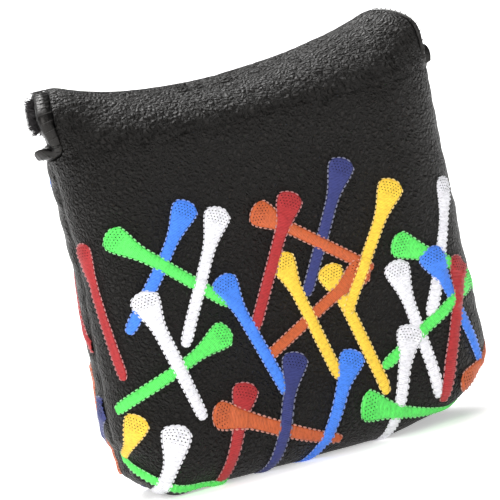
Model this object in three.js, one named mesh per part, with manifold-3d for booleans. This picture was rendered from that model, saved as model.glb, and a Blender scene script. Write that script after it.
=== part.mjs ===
// Head cover for a square mallet putter: a padded leather pocket that stands on a flat sole, a crown
// that closes its top, and a magnetic flap that hangs down the back. Front panel, crown and flap are
// one cut of leather, folded where the crown springs from the panel and where the flap leaves it.
// Millimetres, +Z up, +X to the right, the decorated front faces -Y and the flap lies on +Y.
import * as THREE from 'three';
import Module from 'manifold-3d';
import { mergeVertices } from 'three/addons/utils/BufferGeometryUtils.js';

// Overall sizes
const WIDTH = 120.4;
const HEIGHT = 124;
const BODY_DEPTH = 44;

// Shape of the pocket
const SIDE_RADIUS = 21;
const SEAM_FORWARD = 4;
const BASE_RISE = 20;
const SOLE_DEPTH = 18;
const NOTCH_DROP = 18.5;
const NOTCH_RISE = 6;
const NOTCH_DEPTH = 10;
const MOUTH_DROP = 36;
const MOUTH_SPAN = 62;

// Shape of the crown and the flap
const CROWN_WIDTH = 106.2;
const CROWN_RISE = 18;
const CROWN_SAG = 7.9;
const SAG_SHIFT = 4;
const SAG_FULLNESS = 1.2;
const FLAP_HANG = 62;
const FLAP_TOP_WIDTH = 96;
const FLAP_END_WIDTH = 88;
const FLAP_CORNER = 16;
const FLAP_CLEARANCE = 1;

// Layers, from the outside in
const LEATHER = 1.4;
const FOAM = 3;
const PLUSH = 2.4;
const THIN_FOAM = 2.4;
const THIN_PLUSH = 1.4;
const LAYER_GAP = 0.3;

// Edge binding and side seam
const BINDING_WIDTH = 2.8;
const BINDING_GAP = 1;
const BINDING_PROUD = 0.4;
const BINDING_ROUND = 1.1;
const WELT_THICKNESS = 1;
const WELT_RECESS = 0.4;
const WELT_DEPTH = 5;

// Magnets, two in the pocket's back and two in the flap
const MAGNET_RADIUS = 8;
const MAGNET_THICKNESS = 2;
const FLAP_MAGNET_THICKNESS = 1.4;
const MAGNET_SPREAD = 22;
const MAGNET_UP = 12;
const POUCH_WALL = 0.8;
const POUCH_FLOOR = 0.5;
const MAGNET_PLAY = 0.3;

// Facets
const FLAT_COLUMNS = 8;
const BEND_COLUMNS = 4;
const BASE_ROWS = 5;
const WALL_ROWS = 4;
const NOTCH_ROWS = 6;
const FOLD_ROWS = 4;
const CROWN_ROWS = 5;
const FLAP_ROWS = 2;
const CORNER_ROWS = 5;
const ROUND_SIDES = 32;

// Worked out from the sizes above
const FLAT_HALF = WIDTH / 2 - SIDE_RADIUS;
const CROWN_HALF = CROWN_WIDTH / 2;
const SPRINGING = HEIGHT - CROWN_RISE;
const WALL_TOP = SPRINGING - BASE_RISE;
const NOTCH_FLOOR = HEIGHT - NOTCH_DROP - BASE_RISE;
const MOUTH_FLOOR = NOTCH_FLOOR - MOUTH_DROP;
const MAGNET_HEIGHT = SPRINGING - FLAP_HANG + MAGNET_UP;
const SEAM_Y = -SEAM_FORWARD;
const SEAM_GAP = WELT_THICKNESS / 2 + LAYER_GAP;
const FLAP_STACK = LEATHER + THIN_FOAM + THIN_PLUSH + 2 * LAYER_GAP;
const POCKET_STACK = LEATHER + FOAM + PLUSH + 2 * LAYER_GAP;
const CROWN_HALF_DEPTH = (BODY_DEPTH + FLAP_CLEARANCE + FLAP_STACK) / 2;
const CROWN_CENTRE_Y = CROWN_HALF_DEPTH - BODY_DEPTH / 2;
const CROWN_ARC = (CROWN_HALF_DEPTH + CROWN_RISE) / 2;
const FOLD_ANGLE = Math.PI / 4;
const SOLE_SHARE = 1 / BASE_ROWS;

// The front and the back differ only in how far they reach from the side seam.
const FRONT = { way: -1, reach: BODY_DEPTH / 2 - SEAM_FORWARD };
const BACK = { way: 1, reach: BODY_DEPTH / 2 + SEAM_FORWARD };
for (const half of [FRONT, BACK]) {
  half.bend = (SIDE_RADIUS + half.reach) / 2;
  half.edge = FLAT_HALF + half.bend * Math.PI / 2;
  half.sole = (SOLE_DEPTH / 2 + half.way * SEAM_FORWARD) / half.reach;
}

const mix = (a, b, share) => a + (b - a) * share;
const clamp01 = (value) => Math.min(1, Math.max(0, value));
const smooth = (value) => {
  const t = clamp01(value);
  return t * t * (3 - 2 * t);
};

// A point of the pocket wall. `across` is the girth from the centre line, `up` the height above the
// base curve, or the share of the base curve when it is negative, and `inset` the depth under the skin.
function wallPoint(half, across, up, inset) {
  const flat = Math.min(Math.abs(across), FLAT_HALF);
  const turn = Math.min((Math.abs(across) - flat) / half.bend, Math.PI / 2);
  const base = Math.max(0, -up);
  const bendSin = Math.sin(turn);
  const curve = Math.min(1, base / (1 - SOLE_SHARE)) * Math.PI / 2;
  const solePart = clamp01((1 - base) / SOLE_SHARE);
  const forward = base > 1 - SOLE_SHARE ? half.sole * solePart : mix(half.sole, 1, Math.cos(curve));
  const drop = mix(Math.sin(curve), base, bendSin * bendSin) * Math.sqrt(1 - bendSin * bendSin / 2);
  const x = flat + (SIDE_RADIUS - inset) * bendSin * Math.sqrt(1 - base * base / 2);
  const y = SEAM_Y + half.way * (SEAM_GAP + (half.reach - SEAM_GAP - inset) * Math.cos(turn) * forward);
  const z = BASE_RISE + Math.max(0, up) - (BASE_RISE - inset) * drop;
  return new THREE.Vector3(Math.sign(across) * x, y, z);
}

// A point of the leather that runs up the front, over the crown and down the flap.
function wrapPoint(across, up, inset) {
  if (up <= WALL_TOP) return wallPoint(FRONT, across, up, inset);
  const angle = Math.min(Math.PI, (up - WALL_TOP) / CROWN_ARC);
  const straight = Math.max(0, up - WALL_TOP - Math.PI * CROWN_ARC);
  const bent = 1 - smooth(angle / FOLD_ANGLE);
  const flat = Math.min(Math.abs(across), FLAT_HALF);
  const turn = (Math.abs(across) - flat) / FRONT.bend;
  const bentX = flat + (SIDE_RADIUS - inset) * Math.sin(turn);
  const x = mix(Math.abs(across), bentX, bent);
  const fromLow = across + SAG_SHIFT;
  const reach = CROWN_HALF + SAG_SHIFT * Math.sign(fromLow);
  const rise = CROWN_RISE - CROWN_SAG * (1 - Math.min(1, (fromLow / reach) ** 2)) ** SAG_FULLNESS;
  const outer = 1 / Math.hypot(Math.cos(angle) / CROWN_HALF_DEPTH, Math.sin(angle) / rise);
  const radius = outer - inset - bent * (FRONT.reach - inset) * (1 - Math.cos(turn));
  return new THREE.Vector3(
    Math.sign(across) * x,
    CROWN_CENTRE_Y - radius * Math.cos(angle),
    SPRINGING + radius * Math.sin(angle) - straight,
  );
}

// Half widths of the sheets at a height `up`: the notch cuts into the front, which then leans in to
// the crown's width, and behind the crown's top the sheet leans in again to the flap's width.
const CROWN_TOP = WALL_TOP + CROWN_ARC * Math.PI / 2;
const REAR_SPRINGING = WALL_TOP + CROWN_ARC * Math.PI;
const NOTCH_TOP = NOTCH_FLOOR + NOTCH_RISE;
function frontHalf(up) {
  const rise = clamp01((up - NOTCH_FLOOR) / NOTCH_RISE);
  const lean = clamp01((up - NOTCH_TOP) / (CROWN_TOP - NOTCH_TOP));
  const notched = FRONT.edge - NOTCH_DEPTH * Math.sqrt(1 - (1 - rise) ** 2);
  return up > NOTCH_TOP ? mix(FRONT.edge - NOTCH_DEPTH, CROWN_HALF, lean) : notched;
}

function crownHalf(up) {
  if (up < CROWN_TOP) return frontHalf(up);
  return mix(CROWN_HALF, FLAP_TOP_WIDTH / 2, smooth((up - CROWN_TOP) / (REAR_SPRINGING - CROWN_TOP)));
}

function mouthTop(across) {
  return mix(MOUTH_FLOOR, NOTCH_FLOOR, smooth(Math.abs(across) / MOUTH_SPAN));
}

const FOLD_FRONT = WALL_TOP + FOLD_ANGLE * CROWN_ARC;
const FOLD_REAR = WALL_TOP + (Math.PI - FOLD_ANGLE) * CROWN_ARC;
const FLAP_END = REAR_SPRINGING + FLAP_HANG;
const FOLD_PLAY = LAYER_GAP / 2;

function flapHalf(up) {
  if (up < REAR_SPRINGING) return crownHalf(up);
  const taper = (up - REAR_SPRINGING) / (FLAP_END - REAR_SPRINGING);
  const side = mix(FLAP_TOP_WIDTH / 2, FLAP_END_WIDTH / 2, taper);
  const intoCorner = Math.max(0, FLAP_CORNER - (FLAP_END - up));
  return side - FLAP_CORNER + Math.sqrt(FLAP_CORNER ** 2 - intoCorner ** 2);
}

// Turns every face outwards after a box, a lathe or a cylinder has been mapped.
function faceOut(geometry) {
  geometry.deleteAttribute('normal');
  geometry.deleteAttribute('uv');
  const merged = mergeVertices(geometry, 1e-5);
  const place = merged.getAttribute('position');
  const index = merged.getIndex();
  const corner = (i) => new THREE.Vector3().fromBufferAttribute(place, index.getX(i));
  let volume = 0;
  for (let i = 0; i < index.count; i += 3) {
    volume += corner(i).dot(corner(i + 1).cross(corner(i + 2)));
  }
  if (volume < 0) {
    for (let i = 0; i < index.count; i += 3) {
      const first = index.getX(i);
      index.setX(i, index.getX(i + 1));
      index.setX(i + 1, first);
    }
  }
  return merged;
}

// Splits the squares of the inner face along the same diagonals as the outer face, so that the
// facets of nested plates stay parallel.
function matchDiagonals(box) {
  const index = box.getIndex();
  const inner = box.groups[box.groups.length - 1];
  for (let i = inner.start; i < inner.start + inner.count; i += 6) {
    const [a, b, c, d] = [index.getX(i), index.getX(i + 1), index.getX(i + 4), index.getX(i + 2)];
    [a, b, c, a, c, d].forEach((vertex, offset) => index.setX(i + offset, vertex));
  }
}

// A bent plate: `point(column, row, side)` places the corner of a grid, side 0 inside and 1 outside.
function plate(columns, rows, point) {
  const box = new THREE.BoxGeometry(1, 1, 1, columns, rows, 1);
  matchDiagonals(box);
  const place = box.getAttribute('position');
  for (let i = 0; i < place.count; i += 1) {
    const column = Math.round((place.getX(i) + 0.5) * columns);
    const row = Math.round((place.getY(i) + 0.5) * rows);
    const corner = point(column, row, place.getZ(i) > 0 ? 1 : 0);
    place.setXYZ(i, corner.x, corner.y, corner.z);
  }
  return faceOut(box);
}

const steps = (start, end, count) => {
  return Array.from({ length: count }, (_, i) => mix(start, end, (i + 1) / count));
};

// Girth of a grid column: even on the flat, even again round the bend.
const COLUMNS = FLAT_COLUMNS + 2 * BEND_COLUMNS;
function girth(column, edge) {
  const from = column - COLUMNS / 2;
  const onFlat = Math.min(Math.abs(from), FLAT_COLUMNS / 2) / (FLAT_COLUMNS / 2);
  const onBend = Math.max(0, Math.abs(from) - FLAT_COLUMNS / 2) / BEND_COLUMNS;
  return Math.sign(from) * (FLAT_HALF * onFlat + (edge - FLAT_HALF) * onBend);
}

const BASE = steps(-1, 0, BASE_ROWS);
const notchSteps = steps(0, Math.PI / 2, NOTCH_ROWS).map((turn) => {
  return NOTCH_FLOOR + NOTCH_RISE * (1 - Math.cos(turn));
});
const FRONT_ROWS = [
  -1,
  ...BASE,
  ...steps(0, NOTCH_FLOOR, WALL_ROWS),
  ...notchSteps,
  ...steps(NOTCH_TOP, FOLD_FRONT - FOLD_PLAY, FOLD_ROWS),
];

function frontSheet(top, bottom) {
  return plate(COLUMNS, FRONT_ROWS.length - 1, (column, row, side) => {
    const up = FRONT_ROWS[row];
    return wrapPoint(girth(column, frontHalf(up)), up, side ? top : bottom);
  });
}

const BACK_ROWS = [-1, ...BASE, ...steps(0, 1, WALL_ROWS + 2)];
function backSheet(top, bottom) {
  return plate(COLUMNS, BACK_ROWS.length - 1, (column, row, side) => {
    const across = girth(column, BACK.edge);
    const share = BACK_ROWS[row];
    const up = share < 0 ? share : share * mouthTop(across);
    return wallPoint(BACK, across, up, side ? top : bottom);
  });
}

function crownSheet(top, bottom) {
  const start = FOLD_FRONT + FOLD_PLAY;
  const rows = [start, ...steps(start, FOLD_REAR - FOLD_PLAY, CROWN_ROWS)];
  return plate(COLUMNS, CROWN_ROWS, (column, row, side) => (
    wrapPoint(girth(column, crownHalf(rows[row])), rows[row], side ? top : bottom)
  ));
}

function flapSheet(top, bottom) {
  const corner = steps(0, Math.PI / 2, CORNER_ROWS).map((turn) => {
    return FLAP_END - FLAP_CORNER * (1 - Math.sin(turn));
  });
  const rows = [
    FOLD_REAR + FOLD_PLAY,
    ...steps(FOLD_REAR + FOLD_PLAY, REAR_SPRINGING, FOLD_ROWS),
    ...steps(REAR_SPRINGING, FLAP_END - FLAP_CORNER, FLAP_ROWS),
    ...corner,
  ];
  return plate(COLUMNS, rows.length - 1, (column, row, side) => {
    const share = girth(column, CROWN_HALF) / CROWN_HALF;
    return wrapPoint(share * flapHalf(rows[row]), rows[row], side ? top : bottom);
  });
}

// A strip along a sheet's edge. `edge` lists places { across, up } and the way out { outA, outU }.
function edgeStrip(edge, stack, surface) {
  const out = [BINDING_GAP, BINDING_GAP + BINDING_WIDTH - BINDING_ROUND, BINDING_GAP + BINDING_WIDTH];
  return plate(out.length - 1, edge.length - 1, (column, row, side) => {
    const { across, up, outA, outU } = edge[row];
    const rounded = column === out.length - 1 ? BINDING_ROUND : 0;
    const inset = side ? rounded - BINDING_PROUD : stack + BINDING_PROUD - rounded;
    return surface(across + outA * out[column], up + outU * out[column], inset);
  });
}

// Edge of the front panel, from the side seam round the notch and up to the crown fold
function notchEdge(way) {
  const round = [0, ...steps(0, 1, NOTCH_ROWS)].map((t) => ({
    across: way * (FRONT.edge - NOTCH_DEPTH * Math.sin(t * Math.PI / 2)),
    up: NOTCH_FLOOR + NOTCH_RISE * (1 - Math.cos(t * Math.PI / 2)),
    outA: way * Math.sin(t * Math.PI / 2),
    outU: Math.cos(t * Math.PI / 2),
  }));
  const straight = steps(NOTCH_TOP, FOLD_FRONT - FOLD_PLAY, FOLD_ROWS).map((up) => (
    { across: way * frontHalf(up), up, outA: way, outU: 0 }
  ));
  return [...round, ...straight];
}

function crownEdge(way) {
  const start = FOLD_FRONT + FOLD_PLAY;
  return [start, ...steps(start, FOLD_REAR - FOLD_PLAY, CROWN_ROWS)].map((up) => (
    { across: way * crownHalf(up), up, outA: way, outU: 0 }
  ));
}

// Edge of the mouth in the back panel, from the left seam to the right seam
function mouthEdge() {
  return Array.from({ length: COLUMNS + 1 }, (_, column) => {
    const across = girth(column, BACK.edge);
    const atSeam = Math.abs(across) >= BACK.edge;
    const slope = atSeam ? 0 : mouthTop(across + 0.5) - mouthTop(across - 0.5);
    const length = Math.hypot(1, slope);
    return { across, up: mouthTop(across), outA: -slope / length, outU: 1 / length };
  });
}

// Outline of the flap below its fold: one side, the rounded end, and the other side
function flapEdge() {
  const lean = Math.atan((FLAP_TOP_WIDTH - FLAP_END_WIDTH) / 2 / FLAP_HANG);
  const start = FOLD_REAR + FOLD_PLAY;
  const upper = [start, ...steps(start, REAR_SPRINGING, FOLD_ROWS)].map((up) => (
    { across: flapHalf(up), up, outA: 1, outU: 0 }
  ));
  const corner = [0, ...steps(0, 1, CORNER_ROWS)].map((t) => {
    const angle = mix(0, Math.PI / 2, t);
    const up = FLAP_END - FLAP_CORNER * (1 - Math.sin(angle));
    const outward = mix(lean, Math.PI / 2, t);
    return { across: flapHalf(up), up, outA: Math.cos(outward), outU: Math.sin(outward) };
  });
  const right = [...upper, ...corner];
  const left = right.map((spot) => ({ ...spot, across: -spot.across, outA: -spot.outA })).reverse();
  return [...right, ...left];
}

// Flat strip sewn into the side seam, from the left notch round the sole to the right notch
function seamWelt() {
  const corner = (way) => [0, ...steps(0, 1, 2 * BEND_COLUMNS)].map((t) => (
    { x: way * FLAT_HALF, turn: t * Math.PI / 2, way }
  ));
  const right = [{ x: FLAT_HALF, turn: 0, lift: NOTCH_FLOOR, way: 1 }, ...corner(1)];
  const left = [...corner(-1).reverse(), { x: -FLAT_HALF, turn: 0, lift: NOTCH_FLOOR, way: -1 }];
  const path = [...right, ...left];
  return plate(1, path.length - 1, (column, row, side) => {
    const { x, turn, lift = 0, way } = path[row];
    const inset = side ? WELT_RECESS : WELT_RECESS + WELT_DEPTH;
    return new THREE.Vector3(
      x + way * (SIDE_RADIUS - inset) * Math.cos(turn),
      SEAM_Y + (column - 0.5) * WELT_THICKNESS,
      BASE_RISE + lift - (BASE_RISE - inset) * Math.sin(turn),
    );
  });
}

// Magnets and their pouches lie in round holes in the foam, with their axis along Y.
const BACK_FOAM_Y = BODY_DEPTH / 2 - LEATHER - LAYER_GAP;
const FLAP_FOAM_Y = CROWN_CENTRE_Y + CROWN_HALF_DEPTH - LEATHER - LAYER_GAP - THIN_FOAM;
const POUCH_RADIUS = MAGNET_RADIUS + MAGNET_PLAY + POUCH_WALL;

function magnetDisc(thickness) {
  const disc = new THREE.CylinderGeometry(MAGNET_RADIUS, MAGNET_RADIUS, thickness, ROUND_SIDES);
  return faceOut(disc);
}

// A shallow cup, its floor at y = 0 and its rim at y = depth
function pouchCup(depth) {
  const inner = POUCH_RADIUS - POUCH_WALL;
  const profile = [
    new THREE.Vector2(0, 0),
    new THREE.Vector2(POUCH_RADIUS, 0),
    new THREE.Vector2(POUCH_RADIUS, depth),
    new THREE.Vector2(inner, depth),
    new THREE.Vector2(inner, POUCH_FLOOR),
    new THREE.Vector2(0, POUCH_FLOOR),
  ];
  return faceOut(new THREE.LatheGeometry(profile, ROUND_SIDES));
}

const wasm = await Module();
wasm.setup();

function toManifold(geometry) {
  return new wasm.Manifold(new wasm.Mesh({
    numProp: 3,
    vertProperties: new Float32Array(geometry.getAttribute('position').array),
    triVerts: new Uint32Array(geometry.getIndex().array),
  }));
}

function drillForMagnets(geometry, holeY) {
  let solid = toManifold(geometry);
  for (const way of [-1, 1]) {
    const hole = new THREE.CylinderGeometry(
      POUCH_RADIUS + LAYER_GAP, POUCH_RADIUS + LAYER_GAP, 2 * FOAM + 2, ROUND_SIDES);
    hole.translate(way * MAGNET_SPREAD, holeY, MAGNET_HEIGHT);
    solid = solid.subtract(toManifold(faceOut(hole)));
  }
  const { vertProperties, triVerts } = solid.getMesh();
  const drilled = new THREE.BufferGeometry();
  drilled.setAttribute('position', new THREE.BufferAttribute(new Float32Array(vertProperties), 3));
  drilled.setIndex(new THREE.BufferAttribute(new Uint32Array(triVerts), 1));
  return drilled;
}

const FINISHES = {
  leather: { color: 0x2a2726, roughness: 0.55, metalness: 0 },
  binding: { color: 0x1d1b1b, roughness: 0.35, metalness: 0 },
  foam: { color: 0x8d8a84, roughness: 0.95, metalness: 0 },
  plush: { color: 0x3b3a3c, roughness: 1, metalness: 0 },
  tape: { color: 0x151414, roughness: 0.8, metalness: 0 },
  magnet: { color: 0xc4c7cb, roughness: 0.3, metalness: 0.95 },
};

const cover = new THREE.Group();
cover.name = 'putter_head_cover';

function addPart(name, finish, geometry, position = [0, 0, 0]) {
  geometry.computeVertexNormals();
  const mesh = new THREE.Mesh(geometry, new THREE.MeshStandardMaterial(FINISHES[finish]));
  mesh.name = name;
  mesh.position.set(...position);
  cover.add(mesh);
}

// Pocket
const FOAM_TOP = LEATHER + LAYER_GAP;
const PLUSH_TOP = FOAM_TOP + FOAM + LAYER_GAP;
addPart('front_panel', 'leather', frontSheet(0, LEATHER));
addPart('front_padding', 'foam', frontSheet(FOAM_TOP, FOAM_TOP + FOAM));
addPart('front_lining', 'plush', frontSheet(PLUSH_TOP, PLUSH_TOP + PLUSH));
addPart('back_panel', 'leather', backSheet(0, LEATHER));
addPart('back_padding', 'foam', drillForMagnets(backSheet(FOAM_TOP, FOAM_TOP + FOAM), BACK_FOAM_Y));
addPart('back_lining', 'plush', backSheet(PLUSH_TOP, PLUSH_TOP + PLUSH));
addPart('seam_welt', 'tape', seamWelt());
addPart('left_edge_binding', 'binding', edgeStrip(notchEdge(-1), POCKET_STACK, wrapPoint));
addPart('right_edge_binding', 'binding', edgeStrip(notchEdge(1), POCKET_STACK, wrapPoint));
const backPoint = (across, up, inset) => wallPoint(BACK, across, up, inset);
addPart('mouth_binding', 'binding', edgeStrip(mouthEdge(), POCKET_STACK, backPoint));

// Crown
const THIN_PLUSH_TOP = FOAM_TOP + THIN_FOAM + LAYER_GAP;
addPart('crown_panel', 'leather', crownSheet(0, LEATHER));
addPart('crown_padding', 'foam', crownSheet(FOAM_TOP, FOAM_TOP + THIN_FOAM));
addPart('crown_lining', 'plush', crownSheet(THIN_PLUSH_TOP, THIN_PLUSH_TOP + THIN_PLUSH));
addPart('crown_binding_left', 'binding', edgeStrip(crownEdge(-1), FLAP_STACK, wrapPoint));
addPart('crown_binding_right', 'binding', edgeStrip(crownEdge(1), FLAP_STACK, wrapPoint));

// Flap
addPart('flap_panel', 'leather', flapSheet(0, LEATHER));
addPart('flap_padding', 'foam', drillForMagnets(flapSheet(FOAM_TOP, FOAM_TOP + THIN_FOAM), FLAP_FOAM_Y));
addPart('flap_lining', 'plush', flapSheet(THIN_PLUSH_TOP, THIN_PLUSH_TOP + THIN_PLUSH));
addPart('flap_binding', 'binding', edgeStrip(flapEdge(), FLAP_STACK, wrapPoint));

// Magnet pouches: the pocket's open inwards from the back leather, the flap's towards the flap leather.
for (const [side, way] of [['left', -1], ['right', 1]]) {
  const x = way * MAGNET_SPREAD;
  const pocketPouch = pouchCup(FOAM).rotateX(Math.PI);
  const pocketDisc = magnetDisc(MAGNET_THICKNESS);
  const discY = BACK_FOAM_Y - POUCH_FLOOR - MAGNET_PLAY / 2 - MAGNET_THICKNESS / 2;
  addPart(`pocket_magnet_pouch_${side}`, 'tape', pocketPouch, [x, BACK_FOAM_Y, MAGNET_HEIGHT]);
  addPart(`pocket_magnet_${side}`, 'magnet', pocketDisc, [x, discY, MAGNET_HEIGHT]);
  const flapDiscY = FLAP_FOAM_Y + POUCH_FLOOR + MAGNET_PLAY / 2 + FLAP_MAGNET_THICKNESS / 2;
  addPart(`flap_magnet_pouch_${side}`, 'tape', pouchCup(THIN_FOAM), [x, FLAP_FOAM_Y, MAGNET_HEIGHT]);
  const flapDisc = magnetDisc(FLAP_MAGNET_THICKNESS);
  addPart(`flap_magnet_${side}`, 'magnet', flapDisc, [x, flapDiscY, MAGNET_HEIGHT]);
}

// The origin lies under the middle of the finished cover, on the surface that it stands on.
const box = new THREE.Box3().setFromObject(cover);
cover.position.y = -(box.min.y + box.max.y) / 2;

export default cover;
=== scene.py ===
# Looks of a padded leather putter head cover: leather shells, edge tape, plush lining and
# satin-stitched golf tees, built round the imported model. Sizes in the helpers are millimetres.
import math

import bmesh
import bpy
import numpy as np
from mathutils import Matrix, Vector, noise


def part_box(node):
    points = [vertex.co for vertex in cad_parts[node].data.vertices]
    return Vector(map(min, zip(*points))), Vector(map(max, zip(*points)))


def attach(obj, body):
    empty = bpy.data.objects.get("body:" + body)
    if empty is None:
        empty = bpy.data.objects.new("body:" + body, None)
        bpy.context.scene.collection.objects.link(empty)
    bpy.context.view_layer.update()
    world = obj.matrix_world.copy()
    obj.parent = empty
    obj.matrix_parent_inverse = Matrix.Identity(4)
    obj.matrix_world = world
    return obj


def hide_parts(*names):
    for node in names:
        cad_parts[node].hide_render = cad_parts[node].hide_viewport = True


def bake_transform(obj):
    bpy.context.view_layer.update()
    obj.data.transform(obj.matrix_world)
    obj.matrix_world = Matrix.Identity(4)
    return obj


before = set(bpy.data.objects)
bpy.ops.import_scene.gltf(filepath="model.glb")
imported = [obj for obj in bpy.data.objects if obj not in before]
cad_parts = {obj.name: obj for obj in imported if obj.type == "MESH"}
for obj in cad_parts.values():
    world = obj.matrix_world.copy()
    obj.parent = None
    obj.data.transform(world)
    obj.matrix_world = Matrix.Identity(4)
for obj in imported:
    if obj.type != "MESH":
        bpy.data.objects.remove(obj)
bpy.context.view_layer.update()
MM = 0.001

# Sizes read from the frame
front_low, front_high = (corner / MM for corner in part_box("front_panel"))
back_low, back_high = (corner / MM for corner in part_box("back_panel"))
welt_low, welt_high = (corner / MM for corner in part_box("seam_welt"))
flap_low, flap_high = (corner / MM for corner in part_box("flap_panel"))

HALF_WIDTH = front_high.x
SEAM_Y = (welt_low.y + welt_high.y) / 2
FRONT_Y = front_low.y
BACK_Y = back_high.y
NOTCH_Z = back_high.z
FLAP_REAR_Y = flap_high.y
FLAP_END_Z = flap_low.z

# Shape values that the frame doesn't give
SIDE_RADIUS = 21.0
BASE_RISE = 20.0
SOLE_HALF = 9.0
SPRINGING = 106.0
CROWN_RISE = 18.0
CROWN_SAG = 7.9
SAG_SHIFT = 4.0
CROWN_HALF = 53.1
CROWN_SHIFT = -1.1
NOTCH_RISE = 6.0
NOTCH_DEPTH = 10.0
MOUTH_DROP = 36.0
MOUTH_SPAN = 62.0
FLAP_TOP_HALF = 48.0
FLAP_END_HALF = 44.0
FLAP_CORNER = 16.0
LEATHER = 1.4
FOAM = 3.0
THIN_FOAM = 2.4
PLUSH = 2.4
THIN_PLUSH = 1.4
GAP = 0.3
SEAM_GAP = 0.25
BASE_RUN = 30.0

FLAT_HALF = HALF_WIDTH - SIDE_RADIUS
SOLE_MIDDLE_Y = SEAM_Y + 4.0
WALL_TOP = SPRINGING - BASE_RISE
NOTCH_FLOOR = NOTCH_Z - BASE_RISE
NOTCH_TOP = NOTCH_FLOOR + NOTCH_RISE
CROWN_HALF_DEPTH = (FLAP_REAR_Y - FRONT_Y) / 2
CROWN_CENTRE_Y = (FLAP_REAR_Y + FRONT_Y) / 2
CROWN_ARC = (CROWN_HALF_DEPTH + CROWN_RISE) / 2
CROWN_TOP = WALL_TOP + CROWN_ARC * math.pi / 2
REAR_SPRINGING = WALL_TOP + CROWN_ARC * math.pi
FLAP_END = REAR_SPRINGING + SPRINGING - FLAP_END_Z
SOLE_SHARE = 0.2


class Half:
    """The front or the back of the pocket, from the side seam."""

    def __init__(self, way, face_y):
        self.way = way
        self.reach = abs(face_y - SEAM_Y)
        self.bend = (SIDE_RADIUS + self.reach) / 2
        self.edge = FLAT_HALF + self.bend * math.pi / 2
        self.sole = abs(SOLE_MIDDLE_Y + way * SOLE_HALF - SEAM_Y) / self.reach


FRONT = Half(-1, FRONT_Y)
BACK = Half(1, BACK_Y)


def smooth(value):
    t = np.clip(value, 0, 1)
    return t * t * (3 - 2 * t)


def bump_at(value, middle, reach):
    return np.exp(-((value - middle) / reach) ** 2)


def settle(share, up):
    """How far uneven stuffing pushes the sides out. share is -1 at the left seam, 1 at the right."""
    side = smooth((np.abs(share) - 0.5) / 0.4)
    right = 0.3 * side * bump_at(up, 5, 16) - 5.4 * smooth((share - 0.3) / 0.4) * bump_at(up, -25, 11)
    left = side * (0.7 * bump_at(up, 8, 14) - 0.9 * bump_at(up, 52, 14) - 1.2 * bump_at(up, -13, 8))
    corner = smooth((-share - 0.55) / 0.15) * (1 - smooth((-share - 0.85) / 0.15))
    return np.where(share > 0, right, left + 2.3 * corner * bump_at(up, -20, 10))


def wall_point(half, across, up, inset):
    """Points of the pocket wall. across is the girth from the centre line, up the height above the
    base curve, or minus the length down the base curve, inset the depth under the skin."""
    across, up, inset = np.broadcast_arrays(*(np.asarray(v, float) for v in (across, up, inset)))
    inset = inset - settle(across / half.edge, up)
    girth = np.abs(across)
    flat = np.minimum(girth, FLAT_HALF)
    turn = np.clip((girth - flat) / half.bend, 0, math.pi / 2)
    base = np.clip(-up / BASE_RUN, 0, 1)
    bend_sin = np.sin(turn)
    curve = np.minimum(1, base / (1 - SOLE_SHARE)) * math.pi / 2
    sole_part = np.clip((1 - base) / SOLE_SHARE, 0, 1)
    rounded = half.sole + (1 - half.sole) * np.cos(curve)
    forward = np.where(base > 1 - SOLE_SHARE, half.sole * sole_part, rounded)
    drop = np.sin(curve) + (base - np.sin(curve)) * bend_sin ** 2
    drop = drop * np.sqrt(1 - bend_sin ** 2 / 2)
    x = flat + (SIDE_RADIUS - inset) * bend_sin * np.sqrt(1 - base ** 2 / 2)
    reach = half.reach - SEAM_GAP - inset
    y = SEAM_Y + half.way * (SEAM_GAP + reach * np.cos(turn) * forward)
    z = BASE_RISE + np.maximum(0, up) - (BASE_RISE - inset) * drop
    return np.stack([np.sign(across) * x, y, z], -1)


def wrap_point(across, up, inset):
    """Points of the leather that runs up the front, over the crown and down the flap."""
    across, up, inset = np.broadcast_arrays(*(np.asarray(v, float) for v in (across, up, inset)))
    wall = wall_point(FRONT, across, np.minimum(up, WALL_TOP), inset)
    angle = np.clip((up - WALL_TOP) / CROWN_ARC, 0, math.pi)
    straight = np.maximum(0, up - REAR_SPRINGING)
    bent = 1 - smooth(angle / (math.pi / 4))
    girth = np.abs(across)
    flat = np.minimum(girth, FLAT_HALF)
    turn = (girth - flat) / FRONT.bend
    x = girth + bent * (flat + (SIDE_RADIUS - inset) * np.sin(turn) - girth)
    from_low = across + SAG_SHIFT
    spread = np.clip(from_low / (CROWN_HALF + SAG_SHIFT * np.sign(from_low)), -1, 1)
    rise = CROWN_RISE - CROWN_SAG * (1 - spread ** 2) ** 1.2
    outer = 1 / np.hypot(np.cos(angle) / CROWN_HALF_DEPTH, np.sin(angle) / rise)
    radius = outer - inset - bent * (FRONT.reach - inset) * (1 - np.cos(turn))
    shift = CROWN_SHIFT * smooth((up - WALL_TOP) / 12) * (1 - smooth((up - CROWN_TOP - 10) / 20))
    crown = np.stack([
        np.sign(across) * x + shift,
        CROWN_CENTRE_Y - radius * np.cos(angle),
        SPRINGING + radius * np.sin(angle) - straight,
    ], -1)
    return np.where((up > WALL_TOP)[..., None], crown, wall)


def front_half(up):
    """Half girth of the front leather: full below the notch, then leaning in to the crown's width."""
    rise = np.clip((up - NOTCH_FLOOR) / NOTCH_RISE, 0, 1)
    lean = np.clip((up - NOTCH_TOP) / (CROWN_TOP - NOTCH_TOP), 0, 1)
    notched = FRONT.edge - NOTCH_DEPTH * np.sqrt(1 - (1 - rise) ** 2)
    return notched + (CROWN_HALF - FRONT.edge + NOTCH_DEPTH) * lean


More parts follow.
